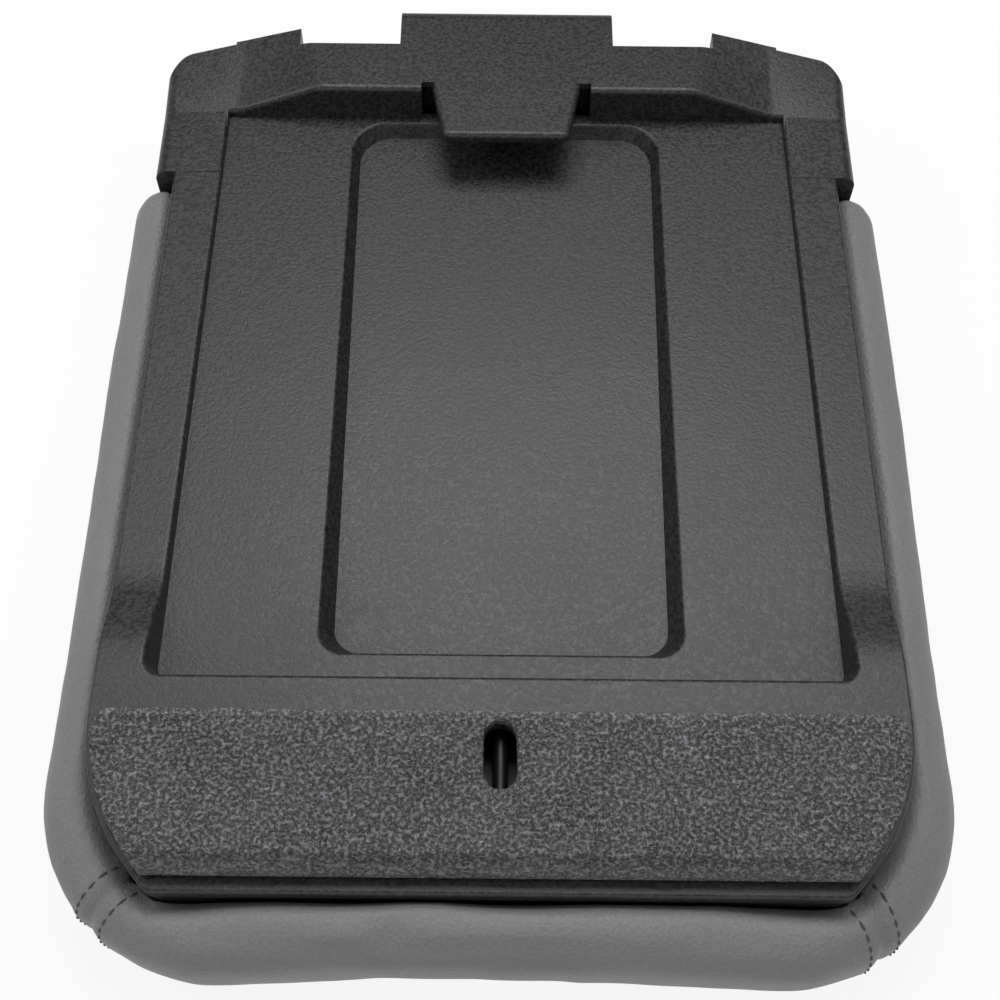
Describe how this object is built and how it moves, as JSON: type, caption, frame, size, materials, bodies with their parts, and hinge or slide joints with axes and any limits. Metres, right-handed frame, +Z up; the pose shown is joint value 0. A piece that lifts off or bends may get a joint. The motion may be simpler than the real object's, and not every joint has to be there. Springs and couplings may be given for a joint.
{
  "type": "center console lid",
  "caption": "Padded center console lid, bin side up, with a moulded liner, a pocket, a foam strip and a hinge tongue.",
  "frame": {"origin": "middle of the lid's box in plan, on the surface that its armrest face lies on", "axes": "+X across the lid, +Y to the hinge end, +Z up, away from the armrest face"},
  "size_m": [0.304, 0.393, 0.068],
  "materials": {
    "liner_plastic": "grained",
    "cover_vinyl": "satin",
    "cushion_foam": "open cell",
    "strip_foam": "open cell",
    "striker_plastic": "gloss",
    "steel": "zinc plated"
  },
  "bodies": {
    "root": {"inner_panel": "liner_plastic", "lid_base": "liner_plastic", "foam_cushion": "cushion_foam", "cover_centre": "cover_vinyl", "cover_side_left": "cover_vinyl", "cover_side_right": "cover_vinyl", "cover_staples": "steel", "front_foam_strip": "strip_foam", "latch_striker": "striker_plastic", "striker_screws": "steel", "panel_screws": "steel", "hinge_leaf": "steel", "hinge_screws": "steel"}
  },
  "joints": []
}
